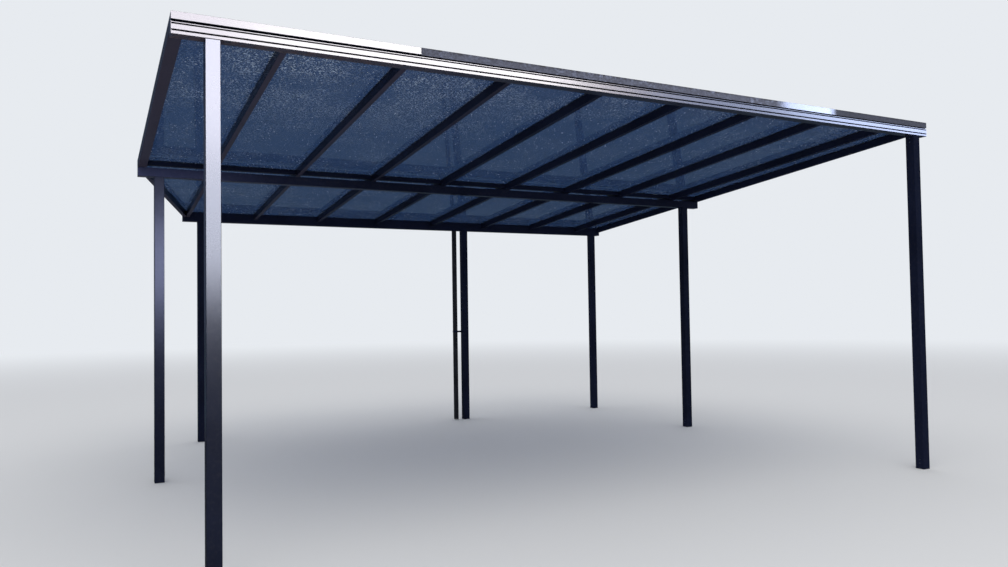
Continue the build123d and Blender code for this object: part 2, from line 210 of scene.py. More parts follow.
class CarportStage(bpy.types.PropertyGroup):
    """Camera, floor, backdrop and even light."""

    lens: FloatProperty(name="Lens", description="Focal length on a 36 mm wide sensor",
                        unit="CAMERA", min=1, default=28.40)
    place: FloatVectorProperty(name="Camera place", description="Where the camera stands",
                               subtype="XYZ", unit="LENGTH", size=3, default=(-3.964, -8.001, 1.639))
    turn: FloatProperty(name="Camera turn", description="Turn of the view away from straight back",
                        subtype="ANGLE", default=math.radians(-27.74))
    tilt: FloatProperty(name="Camera tilt", description="Angle of the view above level",
                        subtype="ANGLE", default=math.radians(1.82))
    roll: FloatProperty(name="Camera roll", description="Turn of the camera about its view",
                        subtype="ANGLE", default=math.radians(-0.87))
    floor_colour: FloatVectorProperty(name="Floor colour", description="Pale studio floor",
                                      subtype="COLOR", size=3, min=0, max=1, default=(0.78, 0.78, 0.775))
    floor_mirrored: FloatVectorProperty(name="Floor in the gloss",
                                        description="Floor colour that glossy faces mirror",
                                        subtype="COLOR", size=3, min=0, max=1, default=(0.035, 0.035, 0.05))
    behind_mirrored: FloatVectorProperty(name="Floor behind in the gloss",
                                         description="Floor colour behind the carport in the sheets' gloss",
                                         subtype="COLOR", size=3, min=0, max=1, default=(0.045, 0.08, 0.115))
    fade_from: FloatProperty(name="Fade from",
                             description="Distance where the floor starts to meet the backdrop",
                             unit="LENGTH", min=1, default=9.0)
    fade_to: FloatProperty(name="Fade to", description="Distance where the floor has become the backdrop",
                           unit="LENGTH", min=2, default=34.0)
    backdrop: FloatVectorProperty(name="Backdrop colour", description="Plain pale backdrop",
                                  subtype="COLOR", size=3, min=0, max=1, default=(0.8, 0.83, 0.87))
    surround: FloatVectorProperty(name="Surround colour",
                                  description="What the coat's gloss mirrors beside the lamps",
                                  subtype="COLOR", size=3, min=0, max=1, default=(0.07, 0.09, 0.14))
    ambient: FloatVectorProperty(name="Ambient colour", description="Even light on matt faces",
                                 subtype="COLOR", size=3, min=0, max=2, default=(0.82, 0.84, 0.88))


# Node helpers for materials
class Shader:
    """A material's node tree with short calls to add and join nodes."""

    def __init__(self, name):
        self.material = bpy.data.materials.new(name)
        self.material.use_nodes = True
        self.tree = self.material.node_tree
        self.tree.nodes.clear()
        self.output = self.tree.nodes.new("ShaderNodeOutputMaterial")
        self.coordinates = self.tree.nodes.new("ShaderNodeTexCoord").outputs["Object"]

    def put(self, socket, value):
        """Link a node's output to a socket, or set the socket's number or colour."""
        if isinstance(value, bpy.types.NodeSocket):
            self.tree.links.new(value, socket)
        elif value is not None:
            if socket.type == "RGBA":
                value = (*value, 1.0)
            socket.default_value = value

    def add(self, kind, settings=None, **values):
        """Node with its settings and the values of its inputs."""
        node = self.tree.nodes.new(kind)
        for name, value in (settings or {}).items():
            setattr(node, name, value)
        for name, value in values.items():
            self.put(node.inputs[name.replace("_", " ")], value)
        return node

    def mapped(self, scale):
        """Object coordinates scaled for a pattern."""
        return self.add("ShaderNodeMapping", Vector=self.coordinates, Scale=scale).outputs["Vector"]

    def noise(self, scale, detail=3.0, vector=None, roughness=0.55):
        node = self.add("ShaderNodeTexNoise", Vector=vector or self.coordinates, Scale=scale,
                        Detail=detail, Roughness=roughness)
        return node.outputs["Fac"]

    def noise_ramp(self, scale, detail, low, high, roughness=0.55):
        """Patches of noise, cut off between two levels."""
        return self.ramp(self.noise(scale, detail, roughness=roughness), low, high)

    def ramp(self, value, low, high, out_low=0.0, out_high=1.0):
        """Value carried from one range to another and held at its ends."""
        node = self.tree.nodes.new("ShaderNodeMapRange")
        node.interpolation_type = "SMOOTHSTEP"
        for socket, number in zip(node.inputs, (value, low, high, out_low, out_high)):
            self.put(socket, number)
        return node.outputs["Result"]

    def math(self, operation, first, second=None):
        node = self.add("ShaderNodeMath", {"operation": operation})
        self.put(node.inputs[0], first)
        if second is not None:
            self.put(node.inputs[1], second)
        return node.outputs["Value"]

    def product(self, first, *others):
        """All the values multiplied together."""
        for other in others:
            first = self.math("MULTIPLY", first, other)
        return first

    def mix(self, factor, first, second):
        """Blend of two colours."""
        node = self.tree.nodes.new("ShaderNodeMix")
        node.data_type = "RGBA"
        self.put(node.inputs["Factor"], factor)
        colours = [socket for socket in node.inputs if socket.type == "RGBA"]
        self.put(colours[0], first)
        self.put(colours[1], second)
        return [socket for socket in node.outputs if socket.type == "RGBA"][0]

    def blend(self, factor, first, second):
        """Blend of two surfaces."""
        node = self.add("ShaderNodeMixShader")
        for socket, value in zip(node.inputs, (factor, first, second)):
            self.put(socket, value)
        return node.outputs["Shader"]

    def bump(self, height, strength, distance):
        node = self.add("ShaderNodeBump", Height=height, Strength=strength, Distance=distance)
        return node.outputs["Normal"]

    def split(self, vector):
        return self.add("ShaderNodeSeparateXYZ", Vector=vector).outputs

    def facing_up(self):
        """How far a face looks up, from -1 to 1."""
        normal = self.tree.nodes.new("ShaderNodeNewGeometry").outputs["Normal"]
        return self.split(normal)["Z"]

    def principled(self, gloss=None, **values):
        """Main surface; a gloss sets how strongly it mirrors."""
        node = self.add("ShaderNodeBsdfPrincipled", **values)
        if gloss is not None:
            node.inputs["Specular IOR Level"].default_value = gloss
        return node.outputs["BSDF"]

    def finish(self, shader):
        self.tree.links.new(shader, self.output.inputs["Surface"])
        return self.material


def paint(names, material):
    """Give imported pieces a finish."""
    for name in names:
        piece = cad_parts[name]
        piece.data.materials.clear()
        piece.data.materials.append(material)


def coat_shader(name, settings, gloss, added_roughness, extra=None):
    """Satin powder coat with fine ripple, dust on top faces, mud under the front beam's left part and
    painted light: a paler tint on down-facing faces at the left, for light thrown up by the ground.
    """
    shader = Shader(name)
    axes = shader.split(shader.coordinates)
    left_end = cad_low.x + 0.9
    beam_back = cad_low.y + 0.09
    coat, dust = tuple(settings.colour), tuple(settings.dust)

    cloud = shader.noise(1.7, 4.0)
    up = shader.ramp(shader.facing_up(), 0.3, 0.9)
    dust_share = shader.product(up, shader.noise_ramp(9.0, 5.0, 0.38, 0.72, 0.7), 0.75)
    thin_film = shader.product(shader.noise_ramp(38.0, 3.0, 0.45, 0.8), 0.05)
    colour = shader.mix(shader.ramp(cloud, 0.3, 0.7), coat, tuple(channel * 1.5 for channel in coat))
    colour = shader.mix(thin_film, colour, dust)
    colour = shader.mix(dust_share, colour, dust)

    down = shader.ramp(shader.product(shader.facing_up(), -1.0), 0.5, 0.9)
    left_part = shader.ramp(axes["X"], left_end, left_end + 1.0, 1.0, 0.12)
    front_part = shader.ramp(axes["Y"], beam_back, beam_back + 0.01, 1.0, 0.05)
    mud = shader.product(down, shader.noise_ramp(22.0, 6.0, 0.42, 0.62, 0.75), left_part, front_part)
    colour = shader.mix(mud, colour, tuple(settings.mud))
    # Painted light: down-facing faces at the left get a paler tint, fading out to the right, for light
    # thrown up by the ground
    under = shader.product(down, shader.ramp(axes["X"], left_end, left_end + 2.5, 0.35, 0.0))
    colour = shader.mix(under, colour, (0.1, 0.085, 0.115))

    dirt = shader.math("MAXIMUM", dust_share, mud)
    blur = shader.math("ADD", settings.roughness + added_roughness - 0.03, shader.product(cloud, 0.06))
    blur = shader.math("ADD", blur, shader.product(dirt, 0.5))
    ripple = shader.noise(1.0 / settings.grain, 2.0)
    normal = shader.bump(shader.math("ADD", ripple, shader.product(dirt, 2.0)), 0.18, 0.0006)
    surface = shader.principled(gloss, Base_Color=colour, Roughness=blur, IOR=1.5, Normal=normal)
    if extra is not None:
        surface = extra(shader, axes, surface, settings)
    return shader.finish(surface)


def painted_groove_shade(shader, axes, clean, settings):
    """Painted shade in the grooves and in the recess under the cap, spread as dark matt lines a little past
    their edges.
    """
    behind_face = shader.ramp(axes["Y"], cad_low.y + 0.0003, cad_low.y + 0.001)
    top, foot = front_base + RECESS_TOP, front_base + BEAM_FACE_FOOT
    below_cap = shader.ramp(axes["Z"], top - HALF_FADE, top + HALF_FADE, 1.0, 0.0)
    above_foot = shader.ramp(axes["Z"], foot - HALF_FADE, foot + HALF_FADE)
    dark = shader.product(behind_face, below_cap, above_foot)
    # Painted shade: dark lines along the grooves and the recess
    for height, half_width in PAINTED_SHADE_LINES:
        distance = shader.math("ABSOLUTE", shader.math("SUBTRACT", axes["Z"], front_base + height))
        dark = shader.math("MAXIMUM", dark, shader.ramp(distance, half_width - 0.0006, half_width, 1.0, 0.0))
    shaded = tuple(channel * 0.3 for channel in settings.colour)
    return shader.blend(dark, clean, shader.principled(0.0, Base_Color=shaded, Roughness=0.8))


def dusty_cap(shader, axes, clean, settings):
    """Grey dust and stuck debris that hide most of the right cap's gloss, with one cleaner stretch and a
    darker, duller far end.
    """
    clean_from, clean_to = cad_low.x + 4.95, cad_low.x + 5.6
    covered = shader.math("MAXIMUM", shader.ramp(axes["X"], clean_from, clean_from + 0.2, 1.0, 0.0),
                          shader.ramp(axes["X"], clean_to, clean_to + 0.2))
    patch = shader.noise(26.0, 6.0, roughness=0.75)
    ragged = shader.product(shader.ramp(patch, 0.32, 0.5), covered)
    fine = shader.noise_ramp(70.0, 5.0, 0.35, 0.65, 0.8)
    tone = shader.mix(fine, (0.06, 0.058, 0.075), tuple(settings.film))
    high_edge = shader.ramp(axes["Z"], cad_high.z - 0.022, cad_high.z - 0.004)
    clumps = shader.product(high_edge, shader.noise_ramp(48.0, 4.0, 0.42, 0.58))
    tone = shader.mix(clumps, tone, (0.035, 0.028, 0.022))
    # The far end beyond the cleaner stretch is made darker and duller
    far_end = shader.ramp(axes["X"], clean_to, clean_to + 0.25, 0.0, 0.5)
    tone = shader.mix(far_end, tone, (0.02, 0.022, 0.03))
    dust = shader.principled(0.2, Base_Color=tone, Roughness=0.75, Normal=shader.bump(patch, 0.6, 0.003))
    share = shader.math("ADD", shader.product(covered, 0.55), shader.product(ragged, 0.4))
    return shader.blend(shader.math("ADD", share, far_end), clean, dust)


def sheet_shader(settings):
    """Tinted clear sheet with a dust film, dried beads and old runs, paler towards the front left, which
    lamp light passes tinted.
    """
    shader = Shader("tinted_sheet")
    axes = shader.split(shader.coordinates)
    cloud = shader.noise_ramp(1.1, 5.0, 0.35, 0.75, 0.65)
    front = shader.ramp(axes["Y"], cad_low.y + 0.1, cad_low.y + 2.4, 1.0, 0.4)
    left = shader.ramp(axes["X"], cad_low.x + 0.5, cad_low.x + 4.5, 1.0, 0.45)
    front_left = shader.product(front, left)
    patches = shader.ramp(shader.noise(1.6, 3.0), 0.38, 0.6, 0.35, 1.0)
    along_fall = shader.mapped((70.0, 3.0, 3.0))
    runs = shader.ramp(shader.noise(1.0, 5.0, vector=along_fall, roughness=0.75), 0.52, 0.72)
    beads = shader.noise_ramp(70.0, 2.0, 0.56, 0.64)
    small_beads = shader.noise_ramp(125.0, 2.0, 0.62, 0.68)
    wet = shader.math("MAXIMUM", shader.product(runs, 0.7), shader.math("MAXIMUM", beads, small_beads))
    wet = shader.product(wet, patches, front_left)
    # The sheet is made paler towards the front left corner
    haze = shader.product(front_left, 0.042)
    film = shader.math("ADD", haze, shader.product(cloud, settings.film_strength))
    film = shader.math("MAXIMUM", film, shader.product(wet, settings.bead_strength))
    glass = shader.principled(Base_Color=tuple(settings.tint), Roughness=settings.roughness, IOR=1.5,
                              Transmission_Weight=1.0)
    dust_colour = shader.mix(wet, tuple(settings.film), (0.7, 0.83, 1.0))
    dirty = shader.blend(film, glass, shader.principled(Base_Color=dust_colour, Roughness=0.6))
    root_tint = tuple(math.sqrt(channel) for channel in settings.tint)
    passed = shader.add("ShaderNodeBsdfTransparent", Color=root_tint)
    lamp_ray = shader.add("ShaderNodeLightPath").outputs["Is Shadow Ray"]
    return shader.finish(shader.blend(lamp_ray, dirty, passed.outputs["BSDF"]))


def plain_shader(name, colour, roughness, metallic=0.0, grain=60.0, spread=0.35, bump=0.12):
    """Finish with a mottled colour and roughness."""
    shader = Shader(name)
    mottle = shader.noise(grain, 4.0)
    darker = tuple(channel * (1 - spread) for channel in colour)
    lighter = tuple(min(1.0, channel * (1 + spread)) for channel in colour)
    tone = shader.mix(shader.ramp(mottle, 0.3, 0.7), darker, lighter)
    blur = shader.math("ADD", roughness - 0.05, shader.math("MULTIPLY", mottle, 0.1))
    surface = shader.principled(Base_Color=tone, Roughness=blur, Metallic=metallic,
                                Normal=shader.bump(mottle, bump, 0.0008))
    return shader.finish(surface)


def leaf_shader(name, low, high):
    """Dry leaf in browns that change from place to place."""
    shader = Shader(name)
    shade = shader.noise_ramp(24.0, 2.0, 0.35, 0.65)
    return shader.finish(shader.principled(Base_Color=shader.mix(shade, low, high), Roughness=0.7))


# Mesh helpers
def mesh_object(name, points, faces=()):
    """New object at the origin from points and faces in metres."""
    mesh = bpy.data.meshes.new(name)
    mesh.from_pydata([tuple(point) for point in points], [], faces)
    mesh.update()
    piece = bpy.data.objects.new(name, mesh)
    bpy.context.scene.collection.objects.link(piece)
    return piece


def ride_and_slot(piece):
    """Fix a new piece to the carport."""
    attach(piece, BODY)


def plain_mesh(piece, name):
    """Turn a piece's modifiers into a plain mesh under the given name."""
    bpy.context.view_layer.update()
    evaluated = piece.evaluated_get(bpy.context.evaluated_depsgraph_get())
    mesh = bpy.data.meshes.new_from_object(evaluated)
    piece.modifiers.clear()
    old = piece.data
    piece.data = mesh
    bpy.data.meshes.remove(old)
    mesh.name = name
    piece.name = name


# Geometry Nodes helpers
class Growth:
    """A Geometry Nodes tree with named inputs."""

    def __init__(self, name):
        self.tree = bpy.data.node_groups.new(name, "GeometryNodeTree")
        self.tree.interface.new_socket("Geometry", in_out="INPUT", socket_type="NodeSocketGeometry")
        self.tree.interface.new_socket("Geometry", in_out="OUTPUT", socket_type="NodeSocketGeometry")
        self.entry = self.tree.nodes.new("NodeGroupInput")
        self.exit = self.tree.nodes.new("NodeGroupOutput")
        self.identifiers = {}

    def input(self, name, kind, value):
        """Named input with its default."""
        socket = self.tree.interface.new_socket(name, in_out="INPUT", socket_type=kind)
        socket.default_value = value
        self.identifiers[name] = socket.identifier
        return self.entry.outputs[name]

    def add(self, kind, settings=None, values=None):
        node = self.tree.nodes.new(kind)
        for name, value in (settings or {}).items():
            setattr(node, name, value)
        for name, value in (values or {}).items():
            socket = node.inputs[name]
            if isinstance(value, bpy.types.NodeSocket):
                self.tree.links.new(value, socket)
            else:
                socket.default_value = value
        return node

    def math(self, operation, first, second):
        return self.add("ShaderNodeMath", {"operation": operation}, {0: first, 1: second}).outputs["Value"]

    def attribute(self, name, kind):
        """Value that the points carry."""
        node = self.add("GeometryNodeInputNamedAttribute", {"data_type": kind}, {"Name": name})
        return node.outputs["Attribute"]

    def place_on_points(self, shape, angle, scale=None):
        """Set a shape on every point, turned to the point's facing and by an angle about it."""
        align = self.add("FunctionNodeAlignRotationToVector", {"axis": "Z"},
                         {"Vector": self.attribute("facing", "FLOAT_VECTOR")})
        about = self.add("FunctionNodeAxisAngleToRotation", None, {"Axis": (0, 0, 1), "Angle": angle})
        turned = self.add("FunctionNodeRotateRotation", {"rotation_space": "LOCAL"},
                          {"Rotation": align.outputs["Rotation"], "Rotate By": about.outputs["Rotation"]})
        values = {"Points": self.entry.outputs["Geometry"], "Instance": shape,
                  "Rotation": turned.outputs["Rotation"]}
        if scale is not None:
            values["Scale"] = scale
        return self.add("GeometryNodeInstanceOnPoints", None, values).outputs["Instances"]

    def close(self, geometry, material):
        """End the tree in real geometry with one material."""
        real = self.add("GeometryNodeRealizeInstances", None, {"Geometry": geometry})
        finish = self.add("GeometryNodeSetMaterial", None, {"Geometry": real.outputs["Geometry"]})
        finish.inputs["Material"].default_value = material
        self.tree.links.new(finish.outputs["Geometry"], self.exit.inputs["Geometry"])

    def grow(self, piece, name, values):
        """Grow the tree on a piece's points and keep the result as its plain mesh."""
        modifier = piece.modifiers.new("growth", "NODES")
        modifier.node_group = self.tree
        for key, value in values.items():
            modifier[self.identifiers[key]] = value
        plain_mesh(piece, name)


def screw_growth(material):
    """Tree that sets a washer-head screw on every point, turned to the point's normal."""
    growth = Growth("screw_set")
    head_radius = growth.input("Head Radius", "NodeSocketFloat", 0.004)
    head_height = growth.input("Head Height", "NodeSocketFloat", 0.004)
    washer_radius = growth.input("Washer Radius", "NodeSocketFloat", 0.0075)
    seed = growth.input("Seed", "NodeSocketInt", 7)

    def disc(sides, radius_low, radius_high, height, lift):
        cone = growth.add("GeometryNodeMeshCone", {"fill_type": "NGON"},
                          {"Vertices": sides, "Radius Top": radius_high, "Radius Bottom": radius_low,
                           "Depth": height})
        raise_by = growth.add("ShaderNodeCombineXYZ", None, {"Z": lift})
        moved = growth.add("GeometryNodeTransform", None,
                           {"Geometry": cone.outputs["Mesh"], "Translation": raise_by.outputs["Vector"]})
        return moved.outputs["Geometry"]

    def scaled(value, factor):
        return growth.math("MULTIPLY", value, factor)

    washer_height = scaled(head_height, 0.22)
    flange_height = scaled(head_height, 0.3)
    hex_height = scaled(head_height, 0.55)
    chamfer_height = scaled(head_height, 0.15)
    hex_lift = scaled(head_height, 0.42)
    chamfer_lift = scaled(head_height, 0.97)
    joined = growth.add("GeometryNodeJoinGeometry")
    for geometry in (
        disc(16, washer_radius, scaled(washer_radius, 0.93), washer_height, 0.0),
        disc(16, scaled(washer_radius, 0.82), scaled(head_radius, 1.12), flange_height, washer_height),
        disc(6, head_radius, head_radius, hex_height, hex_lift),
        disc(6, head_radius, scaled(head_radius, 0.8), chamfer_height, chamfer_lift),
    ):
        growth.tree.links.new(geometry, joined.inputs["Geometry"])
    spin = growth.add("FunctionNodeRandomValue", {"data_type": "FLOAT"}, {"Seed": seed})
    least, most = [socket for socket in spin.inputs
                   if socket.name in ("Min", "Max") and socket.type == "VALUE"]
    least.default_value = 0.0
    most.default_value = math.tau
    angle = [socket for socket in spin.outputs if socket.type == "VALUE"][0]
    growth.close(growth.place_on_points(joined.outputs["Geometry"], angle), material)
    return growth


def litter_growth(name, material, leaf):
    """Tree that sets bent leaves, or round specks, on points that carry their facing, turn and size."""
    growth = Growth(name)
    length = growth.input("Length", "NodeSocketFloat", 0.03)
    width = growth.input("Width", "NodeSocketFloat", 0.012)
    thickness = growth.input("Thickness", "NodeSocketFloat", 0.0004)
    segments, rings = (8, 4) if leaf else (6, 3)
    blade = growth.add("GeometryNodeMeshUVSphere", None,
                       {"Segments": segments, "Rings": rings, "Radius": 0.5})
    shape = growth.add("ShaderNodeCombineXYZ", None, {"X": length, "Y": width, "Z": thickness})
    flat = growth.add("GeometryNodeTransform", None, {"Geometry": blade.outputs["Mesh"],
                                                      "Scale": shape.outputs["Vector"]})
    formed = flat.outputs["Geometry"]
    if leaf:
        place = growth.add("GeometryNodeInputPosition")
        axes = growth.add("ShaderNodeSeparateXYZ", None, {"Vector": place.outputs["Position"]})
        squared = growth.math("POWER", growth.math("DIVIDE", axes.outputs["X"], length), 2.0)
        curl = growth.math("MULTIPLY", growth.math("MULTIPLY", squared, length), 0.5)
        offset = growth.add("ShaderNodeCombineXYZ", None, {"Z": curl})
        bent = growth.add("GeometryNodeSetPosition", None, {"Geometry": formed,
                                                            "Offset": offset.outputs["Vector"]})
        formed = bent.outputs["Geometry"]
    turn, size = growth.attribute("turn", "FLOAT"), growth.attribute("size", "FLOAT")
    growth.close(growth.place_on_points(formed, turn, size), material)
    return growth


def scatter(name, bits, material, leaf, length, width, thickness):
    """One mesh of many small bits, each a place, a facing, a turn and a size."""
    piece = mesh_object(name, [place for place, _, _, _ in bits])
    facing = piece.data.attributes.new("facing", "FLOAT_VECTOR", "POINT")
    turn = piece.data.attributes.new("turn", "FLOAT", "POINT")
    size = piece.data.attributes.new("size", "FLOAT", "POINT")
    for number, (_, normal, angle, scale) in enumerate(bits):
        facing.data[number].vector = normal
        turn.data[number].value = angle
        size.data[number].value = scale
    growth = litter_growth(name + "_set", material, leaf)
    growth.grow(piece, name, {"Length": length, "Width": width, "Thickness": thickness})
    ride_and_slot(piece)


def leaning(draw, normal, lean):
    """The normal turned a little at random."""
    tilt = Vector((draw.uniform(-lean, lean), draw.uniform(-lean, lean), 0))
    return (normal + tilt).normalized()


class CARPORT_OT_coat_frame(bpy.types.Operator):
    """Give posts, beams, rafters and caps their powder coat"""

    bl_idname = "carport.coat_frame"
    bl_label = "Coat Frame"

    def execute(self, context):
        settings = context.scene.carport_coat
        # Lit and shaded copies of one coat: the front pieces mirror most, the side pieces less and the
        # sheltered pieces least, with a little more blur, as painted shade under the roof
        for names, name, gloss, added_roughness, extra in (
            (FRONT, "front_coat", 0.5, 0.0, None),
            (["front_beam", "front_cap_left"], "front_beam_coat", 0.5, 0.0, painted_groove_shade),
            (INNER, "sheltered_coat", 0.04, 0.02, None),
            (SIDE, "side_coat", 0.14, 0.0, None),
            (["front_cap_right"], "dusty_cap_coat", 1.0, 0.0, dusty_cap),
        ):
            paint(names, coat_shader(name, settings, gloss, added_roughness, extra))
        return {"FINISHED"}


class CARPORT_OT_finish_sheets(bpy.types.Operator):
    """Give the roof sheets their tint, gloss and dust film"""

    bl_idname = "carport.finish_sheets"
    bl_label = "Finish Sheets"

    def execute(self, context):
        paint(SHEETS, sheet_shader(context.scene.carport_sheets))
        return {"FINISHED"}


class CARPORT_OT_finish_small_parts(bpy.types.Operator):
    """Give gaskets, feet and downpipe their finishes"""

    bl_idname = "carport.finish_small_parts"
    bl_label = "Finish Small Parts"

    def execute(self, context):
        paint(GASKETS, plain_shader("gasket_rubber", (0.012, 0.012, 0.013), 0.75))
        zinc = plain_shader("foot_zinc", (0.48, 0.5, 0.52), 0.42, 0.9, 18.0, 0.25)
        plastic = plain_shader("pipe_plastic", (0.016, 0.017, 0.022), 0.34, 0.0, 6.0, 0.3, 0.05)
        paint(["post_feet"], zinc)
        paint(["downpipe"], plastic)
        return {"FINISHED"}


class CARPORT_OT_add_screws(bpy.types.Operator):
    """Set washer-head screws on the caps and posts, under the front beam and at the middle beam"""

    bl_idname = "carport.add_screws"
    bl_label = "Add Screws"

    def cap_places(self, settings):
        """Points on the rafter caps' top faces, along each straight rafter."""
        places = []
        for name in RAFTERS:
            if name == "rafter_cut_corner":
                continue
            low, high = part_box(name)
            middle = low.x + (high.x - low.x) / 2 if name != "rafter_left_end" else low.x + CAP_HALF_WIDTH
            y = low.y + FIRST_CAP_SCREW
            while y < high.y - CAP_REAR_MARGIN:
                places.append((Vector((middle, y, cap_top_z(y))), roof_normal))
                y += settings.pitch
        low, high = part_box("rafter_cut_corner")
        lean = (high.x - low.x - CUT_RAFTER_ACROSS) / (high.y - low.y)
        y = low.y + FIRST_CAP_SCREW
        while y < high.y - CUT_CAP_REAR_MARGIN:
            x = low.x + CAP_HALF_WIDTH + lean * (y - low.y)
            places.append((Vector((x, y, cap_top_z(y))), roof_normal))
            y += settings.pitch
        return places

    def side_places(self):
        """Points on the posts' left and right faces near their heads and feet."""
        places = []
        for name in POSTS:
            low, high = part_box(name)
            heights = [high.z - below for below in POST_SCREWS_BELOW_HEAD]
            heights += [low.z + above for above in POST_SCREWS_ABOVE_FOOT]
            for x, side in ((low.x, -1.0), (high.x, 1.0)):
                for z in heights:
                    places.append((Vector((x, (low.y + high.y) / 2, z)), Vector((side, 0, 0))))
        return places

    def under_places(self):
        """Points under the front beam, beside its posts."""
        places = []
        for name in ("post_front_left", "post_front_right"):
            low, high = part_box(name)
            for x in (low.x - BESIDE_POST, high.x + BESIDE_POST):
                places.append((Vector((x, low.y + BEHIND_FRONT_FACE, front_base)), Vector((0, 0, -1))))
        return places

    def rafter_places(self):
        """Points on both side faces of each rafter over the middle beam."""
        places = []
        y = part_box("middle_beam")[0].y - BEFORE_MIDDLE_BEAM
        z = cap_top_z(y) - RAFTER_SCREW_BELOW_CAP
        for name in RAFTERS:
            if name == "rafter_cut_corner":
                continue
            low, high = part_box(name)
            for x, side in ((low.x, -1.0), (high.x, 1.0)):
                outside = abs(x - cad_low.x) < 0.001 or abs(x - cad_high.x) < 0.001
                if not outside:
                    places.append((Vector((x, y, z)), Vector((side, 0, 0))))
        return places

    def set_screws(self, name, places, material, settings, scale):
        """One mesh of screws, each a place and a facing."""
        piece = mesh_object(name, [place for place, _ in places])
        facing = piece.data.attributes.new("facing", "FLOAT_VECTOR", "POINT")
        for number, (_, normal) in enumerate(places):
            facing.data[number].vector = normal
        growth = screw_growth(material)
        growth.grow(piece, name, {
            "Head Radius": settings.head_radius * scale,
            "Head Height": settings.head_height * scale,
            "Washer Radius": settings.washer_radius * scale,
        })
        ride_and_slot(piece)

    def execute(self, context):
        settings = context.scene.carport_fixings
        dark = plain_shader("screw_painted", (0.03, 0.032, 0.04), 0.35, 0.6, 90.0)
        bright = plain_shader("screw_bright", (0.72, 0.72, 0.72), 0.22, 1.0, 120.0, 0.12)
        for name, places, material, scale in (
            ("cap_screws", self.cap_places(settings), dark, 1.0),
            ("post_screws", self.side_places(), bright, 0.85),
            ("rafter_screws", self.rafter_places(), bright, 0.85),
            ("beam_screws", self.under_places(), bright, 1.1),
        ):
            self.set_screws(name, places, material, settings, scale)
        return {"FINISHED"}


class CARPORT_OT_strew_litter(bpy.types.Operator):
    """Strew leaf litter behind the front cap, in the gutter and on the sheets, with dried specks"""

    bl_idname = "carport.strew_litter"
    bl_label = "Strew Litter"

    def edge_bits(self, settings, draw):
        """Bits in drifts on the sheets behind the right front cap."""
        low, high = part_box("front_cap_right")
        sheet_front = max((point for name in SHEETS for point in node_points(name)), key=lambda p: p.z)
        drifts = [low.x + (high.x - low.x) * draw.random() ** 1.15 for _ in range(DRIFTS)]
        bits = []
        while len(bits) < settings.edge_leaves:
            x = draw.choice(drifts) + draw.gauss(0, DRIFT_SPREAD)
            if not low.x + 0.02 < x < high.x - 0.02:
                continue
            y = high.y + BEHIND_CAP + DRIFT_DEPTH * draw.random() ** 2
            z = sheet_front.z - roof_fall * (y - sheet_front.y) + EDGE_LIFT
            bits.append((Vector((x, y, z)), leaning(draw, roof_normal, 0.2), draw.uniform(0, math.tau),
                         draw.uniform(0.35, 0.85)))
        return bits

    def gutter_bits(self, settings, draw):
        """Leaves on the gutter's floor, away from its ends."""
        low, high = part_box("rear_gutter")
        floor = low.z + GUTTER_WALL
        bits = []
        for _ in range(settings.gutter_leaves):
            x = draw.uniform(low.x + GUTTER_END_MARGIN, high.x - GUTTER_END_MARGIN)
            y = draw.uniform(low.y + GUTTER_FRONT_MARGIN, high.y - GUTTER_REAR_MARGIN)
            place = Vector((x, y, floor + draw.uniform(0, GUTTER_HEAP)))
            bits.append((place, leaning(draw, Vector((0, 0, 1)), 0.25), draw.uniform(0, math.tau),
                         draw.uniform(0.6, 1.3)))
        return bits

    def sheet_place(self, draw, faces):
        """A random place on the given faces, even over their area."""
        corners, _ = draw.choices(faces, weights=[area for _, area in faces])[0]
        first, second, third = corners
        share, other = draw.random(), draw.random()
        if share + other > 1:
            share, other = 1 - share, 1 - other
        return first + (second - first) * share + (third - first) * other

    def sheet_faces(self, side):
        """Triangles of the sheets' top faces (side 1) or undersides (side -1) with their areas."""
        faces = []
        for name in SHEETS:
            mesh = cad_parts[name].data
            mesh.calc_loop_triangles()
            faces += [([mesh.vertices[index].co.copy() for index in triangle.vertices], triangle.area)
                      for triangle in mesh.loop_triangles if triangle.normal.z * side > 0.9]
        return faces

    def roof_bits(self, settings, draw, faces):
        """Leaves on the sheets."""
        return [(self.sheet_place(draw, faces) + roof_normal * LEAF_LIFT, leaning(draw, roof_normal, 0.08),
                 draw.uniform(0, math.tau), draw.uniform(0.5, 1.2)) for _ in range(settings.roof_leaves)]

    def specks(self, draw, faces, normal, count):
        """Dried beads of water on faces, many small and few large."""
        return [(self.sheet_place(draw, faces) + normal * SPECK_LIFT, normal, draw.uniform(0, math.tau),
                 0.45 + 1.1 * draw.random() ** 3) for _ in range(count)]

    def execute(self, context):
        settings = context.scene.carport_litter
        draw = random.Random(settings.seed)
        length = settings.leaf_length
        brown = leaf_shader("dry_leaf", (0.05, 0.028, 0.014), (0.2, 0.12, 0.055))
        pale = plain_shader("dried_speck", (0.8, 0.83, 0.86), 0.8, 0.0, 300.0, 0.15)
        size = settings.speck_size
        tops, undersides = self.sheet_faces(1), self.sheet_faces(-1)
        # One source of random numbers feeds all five in this order
        edge = self.edge_bits(settings, draw)
        gutter = self.gutter_bits(settings, draw)
        leaves = self.roof_bits(settings, draw, tops)
        below = self.specks(draw, undersides, -roof_normal, settings.specks)
        above = self.specks(draw, tops, roof_normal, settings.specks // 4)
        scatter("edge_litter", edge, brown, True, length * 0.7, length * 0.25, 0.0012)
        scatter("gutter_litter", gutter, brown, True, length, length * 0.4, 0.0008)
        scatter("roof_litter", leaves, brown, True, length, length * 0.38, 0.0008)
        scatter("lower_specks", below, pale, False, size, size * 0.85, size * 0.1)
        scatter("upper_specks", above, pale, False, size * 1.2, size, size * 0.1)
        return {"FINISHED"}


